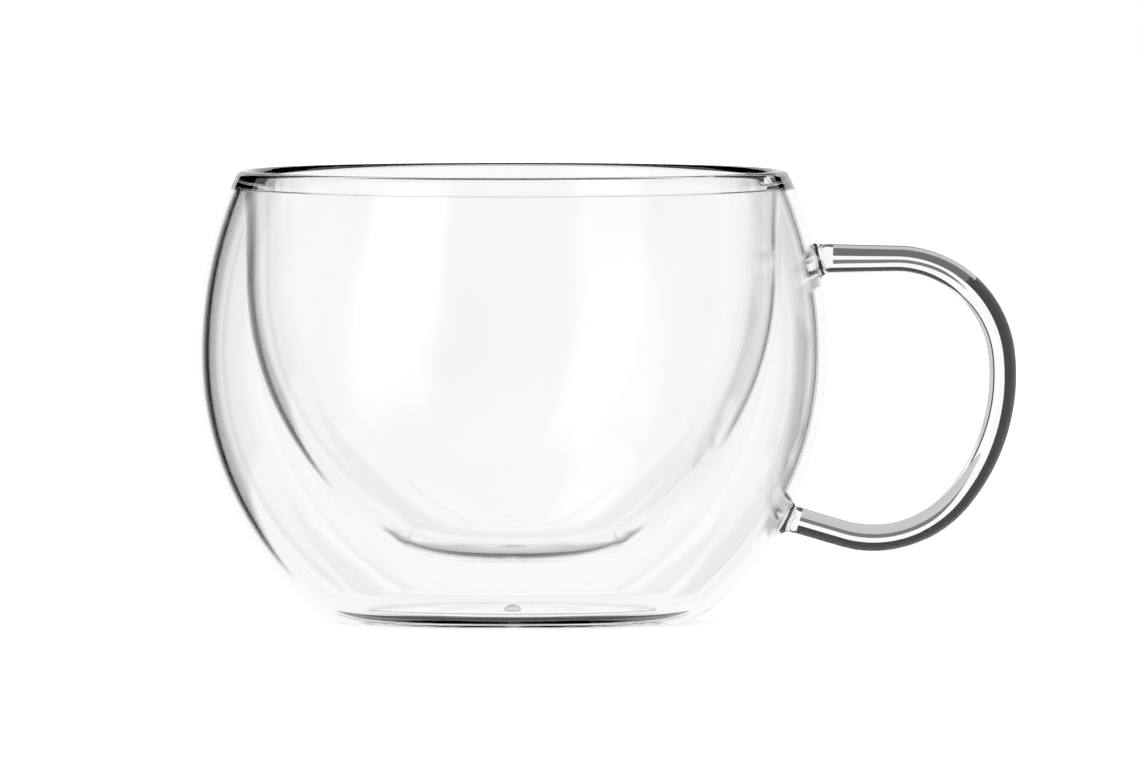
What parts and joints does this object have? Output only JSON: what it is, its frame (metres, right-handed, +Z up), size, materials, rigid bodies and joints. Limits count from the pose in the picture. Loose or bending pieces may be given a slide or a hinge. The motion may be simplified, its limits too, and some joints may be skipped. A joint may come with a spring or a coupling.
{
  "type": "double walled glass cup",
  "caption": "Round-bellied clear glass cup with an inner bowl hung inside an outer vessel, a fused rounded lip, a closed flat foot and a bent rod handle",
  "frame": {"origin": "on the bowl's axis, in the plane that the foot rests on", "axes": "+Z up along the bowl's axis, +X from the axis towards the handle, the handle lies in the XZ plane"},
  "size_m": [0.1431, 0.11, 0.079],
  "materials": {
    "wall_glass": "clear blown glass, smooth",
    "fused_glass": "clear fire-polished glass",
    "rod_glass": "clear drawn rod, smooth",
    "weld_glass": "clear fused glass with fine ripples"
  },
  "bodies": {
    "root": {"outer_shell": "wall_glass", "inner_bowl": "wall_glass", "rim_weld": "fused_glass", "base_disc": "fused_glass", "vent_seal": "fused_glass", "handle_rod": "rod_glass", "upper_handle_weld": "weld_glass", "lower_handle_weld": "weld_glass"}
  },
  "joints": []
}
